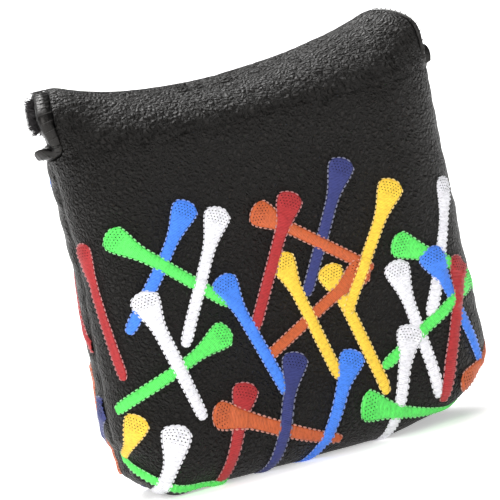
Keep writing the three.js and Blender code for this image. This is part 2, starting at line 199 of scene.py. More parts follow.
def flap_half(up):
    """Half girth of the rear crown and the flap, with the flap's rounded end."""
    rear = smooth((up - CROWN_TOP) / (REAR_SPRINGING - CROWN_TOP))
    taper = np.clip((up - REAR_SPRINGING) / (FLAP_END - REAR_SPRINGING), 0, 1)
    side = CROWN_HALF + (FLAP_TOP_HALF - CROWN_HALF) * rear + (FLAP_END_HALF - FLAP_TOP_HALF) * taper
    into = np.clip(FLAP_CORNER - (FLAP_END - up), 0, FLAP_CORNER)
    return side - FLAP_CORNER + np.sqrt(FLAP_CORNER ** 2 - into ** 2)


def mouth_top(across):
    low = NOTCH_FLOOR - MOUTH_DROP
    return low + MOUTH_DROP * smooth(np.abs(across) / MOUTH_SPAN)


# ---- relief of the leather
def field(across, up, across_scale, up_scale, seed):
    """Smooth noise over the flat pattern, from -1 to 1."""
    across, up = np.broadcast_arrays(np.asarray(across, float), np.asarray(up, float))
    values = [
        noise.noise(Vector((a / across_scale, u / up_scale, seed)))
        for a, u in zip(across.ravel(), up.ravel())
    ]
    return np.array(values).reshape(across.shape)


def seam_distance(half, across, up):
    sides = half.edge - np.abs(across)
    sole = BASE_RUN + np.minimum(up, 0)
    return np.clip(np.where(up > 0, sides, np.minimum(sides, sole)), 0, None)


def relief(half, across, up):
    """Height of the pocket leather over the CAD surface: soft bulge, puckers and the seam's valley."""
    away = seam_distance(half, across, up)
    bulge = 0.9 * smooth(away / 30)
    valley = -1.5 * np.exp(-away / 1.7)
    along = up + 0.35 * np.abs(across)
    pucker = field(np.abs(across), along, 26, 4.2, 3.0 + half.way) * np.exp(-away / 11)
    ripple = field(across, up, 17, 13, 9.0 + half.way)
    return bulge + valley + 0.8 * pucker * smooth(away / 2.5) + 0.3 * ripple


def crown_relief(across, up):
    """Creases across the crown, where the leather bends, and a soft unevenness."""
    near = smooth((up - WALL_TOP + 12) / 14) * (1 - smooth((up - REAR_SPRINGING + 4) / 14))
    wander = up + 1.4 * field(across, up, 11, 9, 31.0)
    fine = field(across, wander, 12, 1.9, 21.0)
    finer = field(across, wander, 7, 1.2, 27.0)
    crease = -0.30 * np.exp(-(fine / 0.10) ** 2) - 0.16 * np.exp(-(finer / 0.12) ** 2)
    swell = field(across, up, 22, 17, 7.0)
    return near * (crease + 0.12 * field(across, up, 5, 1.6, 5.0)) + 0.3 * swell


def end_lift(across, up):
    """The crown flicks up towards its two ends, over the tape."""
    window = smooth((up - NOTCH_TOP - 3) / 12) * (1 - smooth((up - CROWN_TOP - 8) / 18))
    return 1.2 * window * smooth((np.abs(across) - CROWN_HALF + 13) / 13)


def crown_fill(across, up):
    """The crown's middle stands a little fuller than the plain sag."""
    window = smooth((up - NOTCH_TOP - 6) / 14) * (1 - smooth((up - CROWN_TOP - 12) / 18))
    return window * (0.3 + 0.8 * bump_at(across, -5, 26))


def free_edge(across, up):
    """Distance to the leather's free edge, from the notch round to the end of the flap."""
    half = np.where(up > CROWN_TOP, flap_half(np.minimum(up, FLAP_END)), front_half(up))
    away = np.minimum(half - np.abs(across), FLAP_END - up)
    return np.where(up > NOTCH_FLOOR, np.clip(away, 0, None), 99.0)


def wrap_relief(across, up):
    across, up = np.broadcast_arrays(np.asarray(across, float), np.asarray(up, float))
    low = relief(FRONT, across, np.minimum(up, NOTCH_FLOOR))
    share = smooth((up - NOTCH_FLOOR + 14) / 20)
    high = 0.6 + crown_relief(across, up) + end_lift(across, up) + crown_fill(across, up)
    return low * (1 - share) + high * share - 0.9 * np.exp(-free_edge(across, up) / 0.7)


# ---- meshes
def make_mesh(name, verts, faces, material, uv=None):
    mesh = bpy.data.meshes.new(name)
    mesh.from_pydata((np.asarray(verts) * MM).tolist(), [], faces)
    mesh.validate()
    mesh.materials.append(material)
    if uv is not None:
        layer = mesh.uv_layers.new(name="flat")
        index = np.empty(len(mesh.loops), int)
        mesh.loops.foreach_get("vertex_index", index)
        layer.data.foreach_set("uv", np.asarray(uv, float)[index].ravel())
    mesh.shade_smooth()
    piece = bpy.data.objects.new(name, mesh)
    bpy.context.scene.collection.objects.link(piece)
    return piece


def grid_faces(rows, columns, offset=0, flip=False):
    faces = []
    for r in range(rows - 1):
        for c in range(columns - 1):
            a = offset + r * columns + c
            quad = (a, a + 1, a + columns + 1, a + columns)
            faces.append(quad[::-1] if flip else quad)
    return faces


def rim_loop(rows, columns):
    """Indices round the border of a grid, once."""
    bottom = [c for c in range(columns)]
    right = [r * columns + columns - 1 for r in range(1, rows)]
    top = [(rows - 1) * columns + c for c in range(columns - 2, -1, -1)]
    left = [r * columns for r in range(rows - 2, 0, -1)]
    return bottom + right + top + left


def shell(name, outer, inner, material, flat, flip=False, joins=()):
    """A closed sheet between two grids of points. flat is the pattern's (across, up) at each point.
    joins are (row, normals) where the sheet runs on into the next piece, so that no seam shows."""
    rows, columns = outer.shape[:2]
    count = rows * columns
    verts = np.concatenate([outer.reshape(-1, 3), inner.reshape(-1, 3)])
    uv = np.concatenate([flat.reshape(-1, 2)] * 2) / 100
    faces = grid_faces(rows, columns, 0, flip) + grid_faces(rows, columns, count, not flip)
    loop = rim_loop(rows, columns)
    for a, b in zip(loop, loop[1:] + loop[:1]):
        quad = (b, a, a + count, b + count)
        faces.append(quad[::-1] if flip else quad)
    piece = make_mesh(name, verts, faces, material, uv)
    if joins:
        normals = np.zeros_like(verts)
        for row, row_normals in joins:
            first = (row % rows) * columns
            normals[first:first + columns] = row_normals
        piece.data.normals_split_custom_set_from_vertices(normals.tolist())
    return piece


def sweep(name, rings, material):
    """A skin over closed rings of points, such as a binding or a cord. UV runs along and round it."""
    rings = np.asarray(rings)
    count, size = rings.shape[:2]
    steps = np.linalg.norm(np.diff(rings.mean(axis=1), axis=0), axis=1)
    run = np.concatenate([[0], np.cumsum(steps)])
    uv = np.stack([
        np.repeat(run[:, None], size, 1),
        np.repeat(np.arange(size)[None, :] * 0.7, count, 0),
    ], -1).reshape(-1, 2) / 100
    faces = []
    for r in range(count - 1):
        for c in range(size):
            d = (c + 1) % size
            faces.append((r * size + c, r * size + d, (r + 1) * size + d, (r + 1) * size + c))
    faces.append(tuple(range(size))[::-1])
    faces.append(tuple(range((count - 1) * size, count * size)))
    piece = make_mesh(name, rings.reshape(-1, 3), faces, material, uv)
    tidy = bmesh.new()
    tidy.from_mesh(piece.data)
    bmesh.ops.recalc_face_normals(tidy, faces=tidy.faces)
    tidy.to_mesh(piece.data)
    tidy.free()
    return piece


def merge(name, pieces):
    """Joins made pieces into one object under a new name."""
    first = pieces[0]
    if len(pieces) > 1:
        with bpy.context.temp_override(active_object=first, selected_editable_objects=pieces):
            bpy.ops.object.join()
    first.name = name
    first.data.name = name
    return first


# ---- materials
def node_material(name, color, roughness):
    material = bpy.data.materials.new(name)
    material.use_nodes = True
    nodes, links = material.node_tree.nodes, material.node_tree.links
    shader = nodes["Principled BSDF"]
    shader.inputs["Base Color"].default_value = (*color, 1)
    shader.inputs["Roughness"].default_value = roughness
    return material, nodes, links, shader


def add_node(nodes, kind, **values):
    made = nodes.new(kind)
    for key, value in values.items():
        if key in made.inputs:
            made.inputs[key].default_value = value
        else:
            setattr(made, key, value)
    return made


def add_noise(nodes, links, vector, scale, detail, output="Fac", **values):
    made = add_node(nodes, "ShaderNodeTexNoise", Scale=scale, Detail=detail, **values)
    links.new(vector, made.inputs["Vector"])
    return made.outputs[output]


def add_range(nodes, links, value, **limits):
    """A Map Range node. from_max and the like name its sockets."""
    made = add_node(nodes, "ShaderNodeMapRange")
    for key, limit in limits.items():
        made.inputs[key.replace("_", " ").title()].default_value = limit
    links.new(value, made.inputs["Value"])
    return made


def add_sum(nodes, links, value, factor, other):
    made = add_node(nodes, "ShaderNodeMath", operation="MULTIPLY_ADD")
    made.inputs[1].default_value = factor
    links.new(value, made.inputs[0])
    links.new(other, made.inputs[2])
    return made.outputs["Value"]


def add_bump(nodes, links, shader, height, strength, distance):
    bump = add_node(nodes, "ShaderNodeBump", Strength=strength, Distance=distance)
    links.new(height, bump.inputs["Height"])
    links.new(bump.outputs["Normal"], shader.inputs["Normal"])


def add_tone(nodes, links, shader, share, dark, light):
    tone = add_node(nodes, "ShaderNodeMixRGB")
    tone.inputs["Color1"].default_value = (*dark, 1)
    tone.inputs["Color2"].default_value = (*light, 1)
    links.new(share, tone.inputs["Fac"])
    links.new(tone.outputs["Color"], shader.inputs["Base Color"])


def leather_material(name, color, grain, depth, roughness):
    """Pebble grain: cells about `grain` mm across, finer pores, uneven sheen."""
    material, nodes, links, shader = node_material(name, color, roughness)
    flat = add_node(nodes, "ShaderNodeUVMap", uv_map="flat").outputs["UV"]
    warp = add_noise(nodes, links, flat, 60.0, 2.0, output="Color")
    mixed = add_node(nodes, "ShaderNodeMixRGB", blend_type="LINEAR_LIGHT")
    mixed.inputs["Fac"].default_value = 0.006
    links.new(flat, mixed.inputs["Color1"])
    links.new(warp, mixed.inputs["Color2"])
    cells = add_node(nodes, "ShaderNodeTexVoronoi", feature="DISTANCE_TO_EDGE", Scale=100 / grain)
    links.new(mixed.outputs["Color"], cells.inputs["Vector"])
    groove = add_range(nodes, links, cells.outputs["Distance"], from_max=0.42)
    groove.interpolation_type = "SMOOTHSTEP"
    pores = add_noise(nodes, links, flat, 130.0, 4.0, Roughness=0.6)
    height = add_sum(nodes, links, pores, 0.9, groove.outputs["Result"])
    add_bump(nodes, links, shader, height, depth, 0.0022)
    shader.inputs["Specular IOR Level"].default_value = 0.3
    shader.inputs["Specular Tint"].default_value = (1.0, 0.96, 0.92, 1)
    broad = add_noise(nodes, links, flat, 9.0, 3.0)
    gloss = add_range(nodes, links, broad, to_min=roughness - 0.08, to_max=roughness + 0.10)
    links.new(gloss.outputs["Result"], shader.inputs["Roughness"])
    # Painted shade and highlight: the base colour is darker down in the grain's grooves and lighter on
    # the cell tops, following the bump height.
    dark, light = (c * 0.15 for c in color), (c * 1.6 for c in color)
    add_tone(nodes, links, shader, groove.outputs["Result"], dark, light)
    return material


def cloth_material(name, color, scale, roughness=0.95):
    material, nodes, links, shader = node_material(name, color, roughness)
    place = add_node(nodes, "ShaderNodeTexCoord").outputs["Object"]
    grain = add_noise(nodes, links, place, scale * 10, 4.0)
    add_bump(nodes, links, shader, grain, 0.6, 0.0004)
    dark, light = (c * 0.6 for c in color), (min(1, c * 1.4) for c in color)
    add_tone(nodes, links, shader, grain, dark, light)
    shader.inputs["Specular IOR Level"].default_value = 0.15
    return material


LEATHER_MAT = leather_material("black_leather", (0.0080, 0.0070, 0.0064), 1.5, 1.0, 0.42)
TAPE_MAT = leather_material("binding_leather", (0.0085, 0.0078, 0.0075), 0.5, 0.12, 0.36)
FOAM_MAT = cloth_material("foam", (0.3, 0.3, 0.29), 120)
PLUSH_MAT = cloth_material("charcoal_plush", (0.026, 0.024, 0.025), 90)
WELT_MAT = cloth_material("black_tape", (0.012, 0.012, 0.012), 200)


# ---- leather, foam and plush shells
def span(low, high, step):
    return np.linspace(low, high, max(2, int(round(abs(high - low) / step)) + 1))


FINE = 0.9
COARSE = 1.8
FOAM_TOP = LEATHER + GAP
PLUSH_TOP = FOAM_TOP + FOAM + GAP
THIN_PLUSH_TOP = FOAM_TOP + THIN_FOAM + GAP
STACK = PLUSH_TOP + PLUSH
THIN_STACK = THIN_PLUSH_TOP + THIN_PLUSH


def pocket_rows(step):
    notch = NOTCH_FLOOR + NOTCH_RISE * (1 - np.cos(np.linspace(0, math.pi / 2, 13)))
    return np.concatenate([span(-BASE_RUN, 0, step)[:-1], span(0, NOTCH_FLOOR, step)[:-1], notch])


def crown_rows(step):
    return span(NOTCH_TOP, CROWN_TOP, step)


def flap_rows(step):
    corner = FLAP_END - FLAP_CORNER * (1 - np.sin(np.linspace(0, math.pi / 2, 16)))
    return np.concatenate([
        span(CROWN_TOP, REAR_SPRINGING, step)[:-1],
        span(REAR_SPRINGING, FLAP_END - FLAP_CORNER, step)[:-1],
        corner,
    ])


def wrap_grid(ups, half_of, columns):
    shares = np.linspace(-1, 1, columns)
    up = np.repeat(ups[:, None], columns, 1)
    across = shares[None, :] * half_of(ups)[:, None]
    return across, up


def join_normals(at, below, above, columns, height):
    """Normals along the row at height `at`, from the surface on both sides of it."""
    rows = []
    for up, half_of in ((at - FINE, below), (at, below), (at + FINE, above)):
        across, ups = wrap_grid(np.array([up]), half_of, columns)
        rows.append(wrap_point(across, ups, -height(across, ups))[0])
    normal = np.cross(np.gradient(rows[1], axis=0), rows[2] - rows[0])
    return normal / np.linalg.norm(normal, axis=1, keepdims=True)


def wrap_layer(name, ups, half_of, columns, top, bottom, material, height, joins=()):
    across, up = wrap_grid(ups, half_of, columns)
    lift = height(across, up)
    outer = wrap_point(across, up, top - lift)
    inner = wrap_point(across, up, bottom - lift * 0.5)
    return shell(name, outer, inner, material, np.stack([across, up], -1), joins=joins)


def back_grid(step):
    shares = span(-1, 1, step / BACK.edge)
    girth = shares * BACK.edge
    lower = span(-BASE_RUN, 0, step)
    upper = span(0, 1, step / WALL_TOP)[1:]
    across = np.repeat(girth[None, :], len(lower) + len(upper), 0)
    up = np.concatenate([
        np.repeat(lower[:, None], len(girth), 1),
        upper[:, None] * mouth_top(girth)[None, :],
    ])
    return across, up


def back_layer(name, step, top, bottom, material, height):
    across, up = back_grid(step)
    lift = height(across, up)
    outer = wall_point(BACK, across, up, top - lift)
    inner = wall_point(BACK, across, up, bottom - lift * 0.5)
    return shell(name, outer, inner, material, np.stack([across, up], -1), flip=True)


def back_relief(across, up):
    away = mouth_top(across) - up
    return relief(BACK, across, up) - 0.8 * np.exp(-np.clip(away, 0, None) / 0.8)


def half_relief(across, up):
    """The foam follows half the leather's relief, as the leather's own underside does."""
    return 0.5 * wrap_relief(across, up)


def nap(height, seed):
    """Lumpy pile on the inner side of the plush."""
    def lumps(across, up):
        broad = field(across, up, 5.5, 5.5, seed + 4)
        return height * (field(across, up, 2.1, 2.1, seed) + 0.6 * broad)
    return lumps


def on_pocket(piece):
    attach(piece, "pocket")


def bend_crown(piece):
    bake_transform(piece)


def bend_flap(piece):
    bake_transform(piece)


def place_layer(pieces, node_kind):
    """The front and back ride on the pocket, the crown and flap are baked in place, and the matching
    CAD parts are hidden.
    """
    front, crown, flap, back = pieces
    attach(front, "pocket")
    bend_crown(crown)
    bend_flap(flap)
    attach(back, "pocket")
    for piece, part in zip(pieces, ("front", "crown", "flap", "back")):
        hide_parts(f"{part}_{node_kind}")


LEATHER_COLUMNS = 157
FOAM_COLUMNS = 81
notch_join = join_normals(NOTCH_TOP, front_half, front_half, LEATHER_COLUMNS, wrap_relief)
crown_join = join_normals(CROWN_TOP, front_half, flap_half, LEATHER_COLUMNS, wrap_relief)

front_leather = wrap_layer("front_leather", pocket_rows(FINE), front_half, LEATHER_COLUMNS, 0, LEATHER,
                           LEATHER_MAT, wrap_relief, joins=[(-1, notch_join)])
crown_leather = wrap_layer("crown_leather", crown_rows(FINE), front_half, LEATHER_COLUMNS, 0, LEATHER,
                           LEATHER_MAT, wrap_relief, joins=[(0, notch_join), (-1, crown_join)])
flap_leather = wrap_layer("flap_leather", flap_rows(FINE), flap_half, LEATHER_COLUMNS, 0, LEATHER,
                          LEATHER_MAT, wrap_relief, joins=[(0, crown_join)])
back_leather = back_layer("back_leather", FINE, 0, LEATHER, LEATHER_MAT, back_relief)
place_layer((front_leather, crown_leather, flap_leather, back_leather), "panel")


def foam_wrap(part, ups, half_of, thick):
    return wrap_layer(part + "_foam", ups, half_of, FOAM_COLUMNS, FOAM_TOP, FOAM_TOP + thick,
                      FOAM_MAT, half_relief)


front_foam = foam_wrap("front", pocket_rows(COARSE), front_half, FOAM)
crown_foam = foam_wrap("crown", crown_rows(COARSE), front_half, THIN_FOAM)
flap_foam = foam_wrap("flap", flap_rows(COARSE), flap_half, THIN_FOAM)
back_foam = back_layer("back_foam", COARSE, FOAM_TOP, FOAM_TOP + FOAM, FOAM_MAT,
                       lambda a, u: 0.5 * back_relief(a, u))
place_layer((front_foam, crown_foam, flap_foam, back_foam), "padding")

# ---- plush lining
def tufts(name, roots, ways, material, width, seed):
    """Tapered, bent tufts of pile. ways gives each one's direction and length."""
    draw = np.random.default_rng(seed)
    roots, ways = np.asarray(roots), np.asarray(ways)
    count = len(roots)
    length = np.linalg.norm(ways, axis=1, keepdims=True)
    along = ways / length
    aside = np.cross(along, draw.normal(size=(count, 3)))
    aside /= np.linalg.norm(aside, axis=1, keepdims=True)
    third = np.cross(along, aside)
    lean = aside * draw.uniform(-1, 1, (count, 1)) + third * draw.uniform(-1, 1, (count, 1))
    lean = lean * length * 0.35
    rings = []
    for share, size in ((0.0, 1.0), (0.55, 0.7)):
        middle = roots + ways * share + lean * share ** 2
        for turn in (0, 2.094, 4.189):
            rings.append(middle + (aside * math.cos(turn) + third * math.sin(turn)) * width * size / 2)
    rings.append(roots + ways + lean)
    verts = np.stack(rings, 1).reshape(-1, 3)
    faces = []
    for t in range(count):
        a = t * 7
        for k in range(3):
            n = (k + 1) % 3
            faces.append((a + k, a + n, a + 3 + n, a + 3 + k))
            faces.append((a + 3 + k, a + 3 + n, a + 6))
        faces.append((a + 2, a + 1, a))
    return make_mesh(name, verts, faces, material, np.zeros((len(verts), 2)))


FRINGE_REACH = {-1: 4.8, 1: 1.6}


def fringe(ups, edge_of, inset, count, seed, over=0.0):
    """Pile of the lining that stands out past the tape at both side edges of a wrap piece, longer on
    the left. over is how far it also rises past the tape's own side."""
    draw = np.random.default_rng(seed)
    roots, ways = [], []
    for side, reach in FRINGE_REACH.items():
        up = draw.uniform(ups[0], ups[-1], count)
        depth = inset + draw.uniform(-0.6 - (over if side < 0 else 0), 2.6, count)
        outside = np.clip((inset - depth) / 0.6, 0, 1) * 3.2
        across = side * (edge_of(up) + outside - draw.uniform(-0.5, 2.5, count) * (1 - outside / 4))
        root = wrap_point(across, up, depth)
        out = wrap_point(across + side, up, depth) - root
        inward = wrap_point(across, up, depth + 1) - root
        along = wrap_point(across, up + 1, depth) - root
        spread = draw.normal(size=(count, 2)) * 0.26
        way = out + inward * (0.16 + spread[:, :1]) + along * spread[:, 1:]
        way /= np.linalg.norm(way, axis=1, keepdims=True)
        roots.append(root)
        ways.append(way * reach * draw.uniform(0.6, 1.1, (count, 1)))
    return np.concatenate(roots), np.concatenate(ways)


def pile(point_of, across, up, depth, length, seed):
    """Pile that stands up from the inner side of the plush."""
    draw = np.random.default_rng(seed)
    root = point_of(across, up, depth)
    inward = point_of(across, up, depth + 1) - root
    way = inward + draw.normal(size=root.shape) * 0.45
    way /= np.linalg.norm(way, axis=1, keepdims=True)
    return root, way * length * draw.uniform(0.6, 1.2, (len(root), 1))


def scatter(low, high, half_of, count, seed):
    draw = np.random.default_rng(seed)
    up = draw.uniform(low, high, count)
    return draw.uniform(-1, 1, count) * (half_of(up) - 1), up


def back_wall(across, up, depth):
    return wall_point(BACK, across, up, depth)


def plush_layer(base, name, tuft_sets, seed):
    roots = np.concatenate([roots for roots, ways in tuft_sets])
    ways = np.concatenate([ways for roots, ways in tuft_sets])
    return merge(name, [base, tufts(name + "_pile", roots, ways, PLUSH_MAT, 0.42, seed)])


def plush_wrap(name, ups, half_of, top, bottom, seed):
    across, up = wrap_grid(ups, half_of, 101)
    outer = wrap_point(across, up, top - 0.5 * wrap_relief(across, up))
    inner = wrap_point(across, up, bottom + nap(0.45, seed)(across, up))
    return shell(name, outer, inner, PLUSH_MAT, np.stack([across, up], -1))


def plush_back(name, top, bottom, seed):
    across, up = back_grid(1.5)
    outer = wall_point(BACK, across, up, top - 0.5 * back_relief(across, up))
    inner = wall_point(BACK, across, up, bottom + nap(0.45, seed)(across, up))
    return shell(name, outer, inner, PLUSH_MAT, np.stack([across, up], -1), flip=True)


PILE_STEP = 1.5
ROOT = STACK - 0.3
THIN_ROOT = THIN_STACK - 0.3
front_plush = plush_layer(
    plush_wrap("front_plush_sheet", pocket_rows(PILE_STEP), front_half, PLUSH_TOP, STACK, 41.0),
    "front_plush",
    [pile(wrap_point, *scatter(35, NOTCH_FLOOR, front_half, 1800, 5), ROOT, 1.7, 6)],
    8)
crown_plush = plush_layer(
    plush_wrap("crown_plush_sheet", crown_rows(PILE_STEP), front_half,
               THIN_PLUSH_TOP, THIN_STACK, 43.0),
    "crown_plush",
    [pile(wrap_point, *scatter(NOTCH_TOP, CROWN_TOP, front_half, 1100, 9), THIN_ROOT, 1.7, 10),
     fringe((NOTCH_TOP + 8, CROWN_TOP), front_half, THIN_STACK, 1300, 11, over=1.5)],
    12)
flap_plush = plush_layer(
    plush_wrap("flap_plush_sheet", flap_rows(PILE_STEP), flap_half, THIN_PLUSH_TOP, THIN_STACK, 47.0),
    "flap_plush",
    [pile(wrap_point, *scatter(CROWN_TOP, FLAP_END - 2, flap_half, 3200, 13), THIN_ROOT, 1.5, 14),
     fringe((CROWN_TOP, REAR_SPRINGING - 7), flap_half, THIN_STACK, 1900, 15, over=4.2)],
    16)
back_plush = plush_layer(
    plush_back("back_plush_sheet", PLUSH_TOP, STACK, 53.0),
    "back_plush",
    [pile(back_wall, *scatter(25, NOTCH_FLOOR - MOUTH_DROP - 1, lambda u: BACK.edge + 0 * u, 1500, 17),
          ROOT, 1.7, 18)],
    19)
place_layer((front_plush, crown_plush, flap_plush, back_plush), "lining")


# ---- edge bindings, stitches and the seam
TAPE_REACH = 3.8


def binding_profile(stack):
    """Section of a binding: distance out from the sheets' edge, and depth under the skin."""
    near, far = 0.08, TAPE_REACH
    outer = [(near, 1.5), (near, 0.9), (0.35, 0.35), (0.9, -0.1), (1.7, -0.42), (2.5, -0.38)]
    outer += [(3.2, 0.05), (3.65, 0.8), (far, 1.8)]
    inner = [(out, stack - depth) for out, depth in reversed(outer)]
    return np.array(outer + inner)


class Edge:
    """An edge of the sheets: points (across, up), the way out of the sheet, the layers' thickness there
    and how far the tape stands proud. The sheet lies on the left of the path."""

    def __init__(self, point_of, path, stack, proud, reach):
        self.point_of = point_of
        self.path = path
        run = np.gradient(path, axis=0)
        run /= np.linalg.norm(run, axis=1, keepdims=True)
        self.ways = np.stack([run[:, 1], -run[:, 0]], -1)
        self.stack = stack
        self.proud = proud
        self.reach = reach

    def part(self, first, last):
        piece = object.__new__(Edge)
        piece.point_of = self.point_of
        for name in ("path", "ways", "stack", "proud", "reach"):
            setattr(piece, name, getattr(self, name)[first:last])
        return piece


def binding(name, edge, seed):
    """A tape folded round an edge."""
    rings = []
    swell = 0.12 * field(np.arange(len(edge.path)), 0, 6, 1, seed)
    for number, (spot, way, stack) in enumerate(zip(edge.path, edge.ways, edge.stack)):
        profile = binding_profile(stack)
        proud, more = edge.proud[number], swell[number]
        out, depth = profile[:, 0] * edge.reach[number] / TAPE_REACH, profile[:, 1]
        side = np.where(depth < stack / 2, -1, 1)
        depth = depth + side * (more + proud * np.clip(out / 1.5, 0, 1) * (side < 0))
        rings.append(edge.point_of(spot[0] + way[0] * out, spot[1] + way[1] * out, depth))
    return sweep(name, rings, TAPE_MAT)


def edge_stitches(name, edge, share=0.5, pitch=2.6):
    """A row of stitches along a binding, on both of its sides."""
    steps = np.linalg.norm(np.diff(edge.path, axis=0), axis=1)
    run = np.concatenate([[0], np.cumsum(steps)])
    made = []

    def at(values, place):
        return np.interp(place, run, values)

    for start in np.arange(pitch / 4, run[-1] - pitch / 2, pitch):
        for lift in (-1, 1):
            rings = []
            for share, size in ((0, 0.35), (0.25, 0.85), (0.5, 1.0), (0.75, 0.85), (1, 0.35)):
                place = start + share * pitch * 0.62
                spot = np.array([at(edge.path[:, 0], place), at(edge.path[:, 1], place)])
                way = np.array([at(edge.ways[:, 0], place), at(edge.ways[:, 1], place)])
                out = share * at(edge.reach, place)
                top = at(edge.stack, place) + 0.42 if lift > 0 else -0.42 - at(edge.proud, place)
                ring = []
                for turn in range(6):
                    angle = turn * math.pi / 3
                    shift = spot + way * (out + 0.26 * size * math.cos(angle))
                    down = top + lift * (0.02 * size + 0.16 * size * math.sin(angle))
                    ring.append(edge.point_of(shift[0], shift[1], down))
                rings.append(ring)
            made.append(sweep(name, rings, STITCH_MAT))
    return merge(name, made)


STITCH_MAT = cloth_material("dark_thread", (0.05, 0.048, 0.046), 260, 0.6)


def wrap_edge():
    """The free edge of the wrap, from the left side seam over the crown, round the flap and back."""
    notch_ups = NOTCH_FLOOR + NOTCH_RISE * (1 - np.cos(np.linspace(0, math.pi / 2, 25)))
    crown_ups = crown_rows(FINE)[1:]
    flap_ups = flap_rows(FINE)[1:]
    ups = np.concatenate([notch_ups, crown_ups, flap_ups])
    half = np.concatenate([front_half(notch_ups), front_half(crown_ups), flap_half(flap_ups)])
    end = span(-half[-1], half[-1], FINE)[1:-1]
    path = np.concatenate([
        np.stack([half, ups], -1),
        np.stack([end[::-1], np.full(len(end), FLAP_END)], -1),
        np.stack([-half, ups], -1)[::-1],
    ])
    stack = STACK + (THIN_STACK - STACK) * smooth((path[:, 1] - NOTCH_TOP) / 16)
    hook = np.where(path[:, 0] < 0, smooth((NOTCH_FLOOR + 3.0 - path[:, 1]) / 3.0), 0)
    proud = 3.2 * hook + end_lift(np.abs(path[:, 0]) + 9, path[:, 1])
    above = 1 - smooth((path[:, 1] - REAR_SPRINGING + 8) / 10)
    wider = 0.9 * smooth((path[:, 1] - NOTCH_FLOOR - 2) / 4)
    side_reach = np.where(path[:, 0] > 0, -2.0, wider) * above
    reach = TAPE_REACH + 3.4 * hook + side_reach
    edge = Edge(wrap_point, path, stack, proud, reach)
    return edge, len(notch_ups), len(notch_ups) + len(crown_ups)


def mouth_edge():
    girth = span(BACK.edge, -BACK.edge, FINE)[::-1]
    path = np.stack([girth, mouth_top(girth)], -1)[::-1]
    hook = smooth((-girth - BACK.edge + 8) / 8)
    reach = TAPE_REACH + 3.4 * hook - 2.0 * smooth((girth - BACK.edge + 8) / 8)
    return Edge(back_wall, path, np.full(len(path), STACK), 3.2 * hook, reach)


def bind(label, edge, node, seed):
    tape = binding(label + "_tape", edge, seed)
    thread = edge_stitches(label + "_tape_stitches", edge)
    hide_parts(node)
    return tape, thread


wrap_tape_edge, notch_end, crown_end = wrap_edge()
last = len(wrap_tape_edge.path)
wrap_tapes = [
    ("right_edge", 0, notch_end, "right_edge_binding", 2.0, on_pocket),
    ("right_crown", notch_end - 1, crown_end, "crown_binding_right", 8.0, bend_crown),
    ("flap", crown_end - 1, last - crown_end + 1, "flap_binding", 13.0, bend_flap),
    ("left_crown", last - crown_end, last - notch_end + 1, "crown_binding_left", 9.0, bend_crown),
    ("left_edge", last - notch_end, last, "left_edge_binding", 4.0, on_pocket),
]
for label, start, stop, node, seed, follow in wrap_tapes:
    for piece in bind(label, wrap_tape_edge.part(start, stop), node, seed):
        follow(piece)
for piece in bind("mouth", mouth_edge(), "mouth_binding", 17.0):
    on_pocket(piece)


def seam_path():
    down = np.concatenate([span(NOTCH_FLOOR - 0.5, 0, 0.9)[:-1], span(0, -BASE_RUN, 0.9)])
    sole = span(FRONT.edge, -FRONT.edge, 0.9)[1:-1]
    return np.concatenate([
        np.stack([np.full(len(down), FRONT.edge), down], -1),
        np.stack([sole, np.full(len(sole), -BASE_RUN)], -1),
        np.stack([np.full(len(down), -FRONT.edge), down[::-1]], -1),
    ])


def seam_cord(name, radius, sink, material):
    """Piping sewn in the seam between the front and the back."""
    path = seam_path()
    middle = wall_point(FRONT, path[:, 0], path[:, 1], sink)
    middle[:, 1] = SEAM_Y
    tangent = np.gradient(middle, axis=0)
    tangent /= np.linalg.norm(tangent, axis=1, keepdims=True)
    aside = np.array([0.0, 1.0, 0.0])
    third = np.cross(tangent, aside)
    turns = np.linspace(0, 2 * math.pi, 9)[:-1]
    rings = [middle + radius * (math.cos(t) * aside + math.sin(t) * third) for t in turns]
    return sweep(name, np.stack(rings, 1), material)


seam_piping = seam_cord("seam_piping", 0.75, 1.5, TAPE_MAT)
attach(seam_piping, "pocket")
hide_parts("seam_welt")

# ---- embroidered golf tees
TEE_LENGTH = 43.0
HEAD_HALF = 4.15
STEM_HALF = 2.0
HEAD_BACK = 0.4
THREADS = {
    "red": (0.38, 0.003, 0.006),
    "orange": (0.50, 0.080, 0.004),
    "yellow": (0.90, 0.56, 0.03),
    "green": (0.075, 0.72, 0.09),
    "blue": (0.035, 0.20, 0.80),
    "navy": (0.011, 0.019, 0.15),
    "white": (0.78, 0.77, 0.81),
}

# Each tee: thread, head (across, up) and a point that its tip aims at, on the flat pattern.
# They are sewn in this order, so a later one crosses over an earlier one.
FRONT_TEES = [
    ("white", (56, 53), (40, 15)),
    ("navy", (23, 67), (4, 32)),
    ("blue", (-27, 66), (-51, 33)),
    ("green", (-52, 62), (-16, 29)),
    ("white", (-18, 62), (-37, 25)),
    ("orange", (-8, 59), (26, 32)),
    ("yellow", (11, 37), (21, -2)),
    ("orange", (23, 34), (-13, 15)),
    ("yellow", (-3, 44), (7, 6)),
    ("red", (5, 61), (-14, 26)),
    ("yellow", (37, 57), (15, 23)),
    ("green", (-23, 26), (-60, 10)),
    ("blue", (-22, 42), (-9, 2)),
    ("white", (-46, 43), (-36, 1)),
    ("red", (-63, 60), (-56, 17)),
    ("green", (33, 39), (65, 18)),
    ("white", (32, 33), (38, -7)),
    ("blue", (43, 34), (55, -5)),
    ("green", (59, 23), (24, 4)),
    ("red", (54, 29), (39, -11)),
    ("white", (33, 13), (19, -23)),
    ("orange", (46, -9), (82, 4)),
    ("green", (13, -5), (53, -20)),
    ("red", (-21, 9), (-36, -24)),
    ("orange", (-33, 3), (5, -13)),
    ("navy", (-4, 14), (-19, -22)),
    ("blue", (14, 10), (-7, -24)),
    ("yellow", (-54, 7), (-75, -26)),
    ("green", (-72, -12), (-32, -19)),
    ("white", (-44, 2), (-58, -38)),
]
